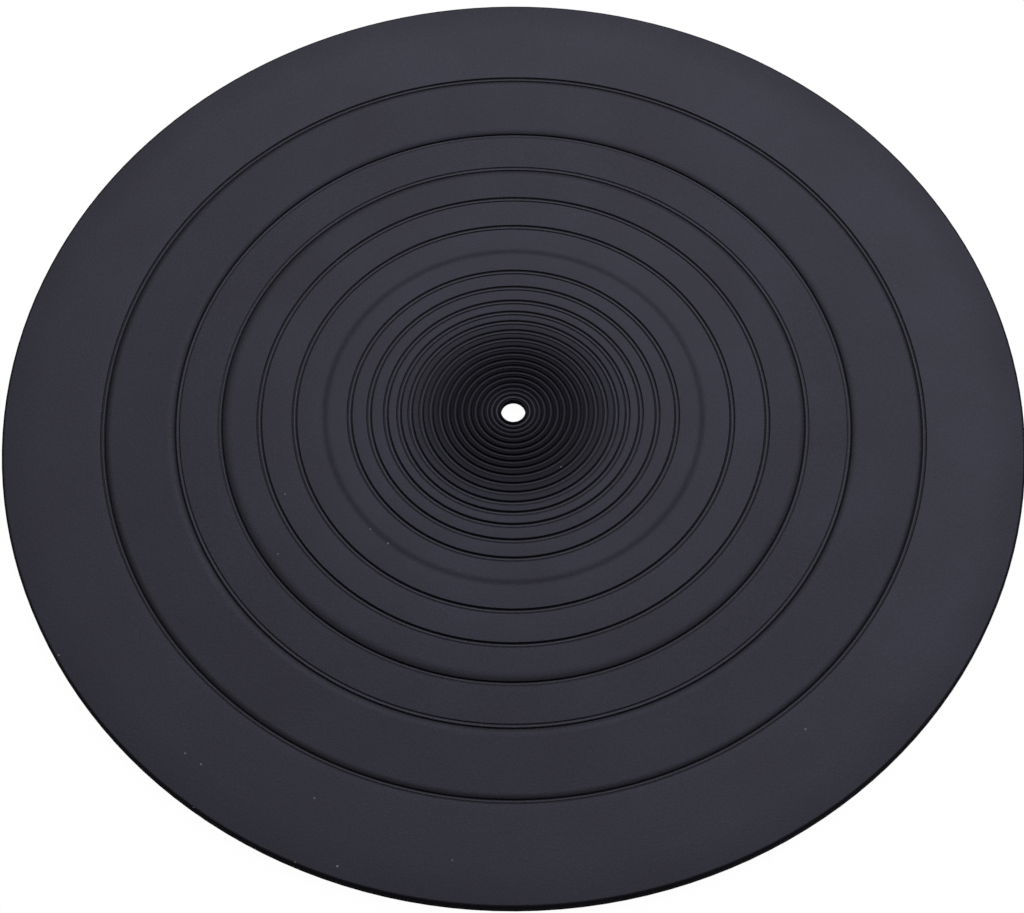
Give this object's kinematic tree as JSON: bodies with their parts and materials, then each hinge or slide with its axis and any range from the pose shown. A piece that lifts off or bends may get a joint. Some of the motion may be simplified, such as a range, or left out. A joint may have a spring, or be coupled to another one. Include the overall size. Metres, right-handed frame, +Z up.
{
  "type": "turntable platter mat",
  "caption": "Round black rubber mat for a turntable platter, with moulded concentric rings and a central spindle hole.",
  "frame": {"origin": "on the axis of the spindle hole, at the flat underside", "axes": "+Z up along the spindle hole, from the underside to the ringed top"},
  "size_m": [0.3, 0.3, 0.0035],
  "materials": {
    "black_rubber": "matt moulded black rubber with a soft sheen"
  },
  "bodies": {
    "root": {"platter_mat": "black_rubber"}
  },
  "joints": []
}
